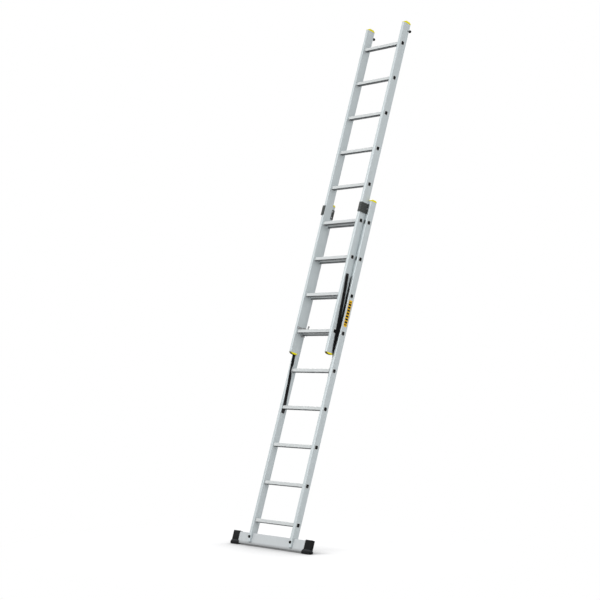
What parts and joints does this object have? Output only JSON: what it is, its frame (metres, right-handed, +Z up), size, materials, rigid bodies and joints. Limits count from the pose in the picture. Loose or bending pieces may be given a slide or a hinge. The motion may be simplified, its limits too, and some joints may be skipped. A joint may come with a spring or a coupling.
{
  "type": "extension ladder",
  "caption": "Leaning two-section aluminium extension ladder with hooked upper section, webbing straps, wall buffers and a rubber-footed cross bar.",
  "frame": {"origin": "on the floor, midway between the two feet, on the line where their soles touch it", "axes": "+X to the ladder's right as its climber faces away from it, +Y towards the wall the top leans to, +Z up; the climber's side faces -Y"},
  "size_m": [0.916, 1.19, 3.847],
  "materials": {
    "satin_aluminium": "satin extruded",
    "rung_aluminium": "ribbed, brushed lengthwise",
    "black_plastic": "moulded, matte",
    "yellow_plastic": "moulded, satin",
    "grey_plastic": "moulded, fine texture",
    "zinc_fasteners": "zinc plated",
    "zinc_steel": "zinc plated pressing",
    "black_steel": "black painted",
    "black_webbing": "woven polyester",
    "black_rubber": "moulded rubber"
  },
  "bodies": {
    "base": {"base_stile_left": "satin_aluminium", "base_stile_right": "satin_aluminium", "base_rung_1": "rung_aluminium", "base_rung_2": "rung_aluminium", "base_rung_3": "rung_aluminium", "base_rung_4": "rung_aluminium", "base_rung_5": "rung_aluminium", "base_rung_6": "rung_aluminium", "base_rung_7": "rung_aluminium", "base_rung_8": "rung_aluminium", "base_rung_9": "rung_aluminium", "base_rung_plugs": "black_plastic", "base_top_cap_left": "yellow_plastic", "base_top_cap_right": "yellow_plastic", "guide_bracket_left": "grey_plastic", "guide_bracket_right": "grey_plastic", "bracket_rivets": "zinc_fasteners", "glide_pad_set": "grey_plastic", "strap_plate_left": "black_steel", "strap_plate_right": "black_steel", "strap_rivet_pair": "zinc_fasteners", "strap_left": "black_webbing", "strap_right": "black_webbing", "stabiliser": "satin_aluminium", "bar_foot_left": "black_rubber", "bar_foot_right": "black_rubber", "bar_bolt_pair": "zinc_fasteners", "bar_nut_pair": "black_plastic"},
    "fly": {"fly_stile_left": "satin_aluminium", "fly_stile_right": "satin_aluminium", "fly_rung_1": "rung_aluminium", "fly_rung_2": "rung_aluminium", "fly_rung_3": "rung_aluminium", "fly_rung_4": "rung_aluminium", "fly_rung_5": "rung_aluminium", "fly_rung_6": "rung_aluminium", "fly_rung_7": "rung_aluminium", "fly_rung_8": "rung_aluminium", "fly_rung_9": "rung_aluminium", "fly_rung_plugs": "black_plastic", "fly_top_cap_left": "yellow_plastic", "fly_top_cap_right": "yellow_plastic", "fly_foot_cap_left": "yellow_plastic", "fly_foot_cap_right": "yellow_plastic", "rung_hook_left": "zinc_steel", "rung_hook_right": "zinc_steel", "hook_rivets": "zinc_fasteners", "latch_pin_pair": "zinc_fasteners", "wall_buffer_left": "black_rubber", "wall_buffer_right": "black_rubber", "buffer_pin_pair": "grey_plastic", "strap_bolt_pair": "zinc_fasteners", "strap_tail_right": "black_webbing"},
    "latch_left": {"hook_latch_left": "zinc_steel"},
    "latch_right": {"hook_latch_right": "zinc_steel"}
  },
  "joints": [
    {"name": "fly_slide", "type": "slide", "parent": "base", "child": "fly", "axis": [0, 0.2933, 0.956], "range_m": [-1.4, 0], "deforming": ["strap_left", "strap_right", "strap_tail_right"]},
    {"name": "latch_left_swing", "type": "hinge", "parent": "fly", "child": "latch_left", "pos_m": [-0.187, 0.43484, 1.50599], "axis": [1, 0, 0], "range_deg": [-80, 0]},
    {"name": "latch_right_swing", "type": "hinge", "parent": "fly", "child": "latch_right", "pos_m": [0.187, 0.43484, 1.50599], "axis": [1, 0, 0], "range_deg": [-80, 0]}
  ]
}
